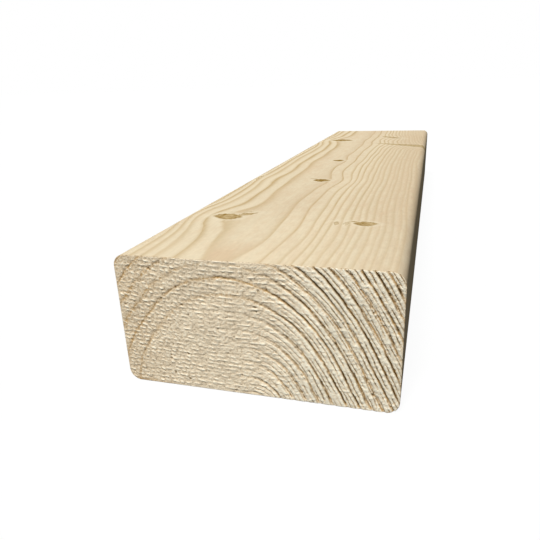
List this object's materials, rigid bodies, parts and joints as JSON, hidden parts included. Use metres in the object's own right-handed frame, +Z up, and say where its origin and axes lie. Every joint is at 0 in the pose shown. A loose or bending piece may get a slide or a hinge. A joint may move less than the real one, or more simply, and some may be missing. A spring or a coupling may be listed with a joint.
{
  "type": "timber lumber plank",
  "caption": "Straight length of planed softwood framing timber with a rectangular section, eased long edges and square rough-sawn ends, for building frames.",
  "frame": {"origin": "middle of the wide face that the plank lies on", "axes": "+Y along the length, +X across the width, +Z up through the thickness"},
  "size_m": [0.09, 0.4, 0.045],
  "materials": {
    "timber": "bare softwood: smooth planed faces with growth-ring grain and knots, rough-sawn end grain"
  },
  "bodies": {
    "root": {"plank": "timber"}
  },
  "joints": []
}
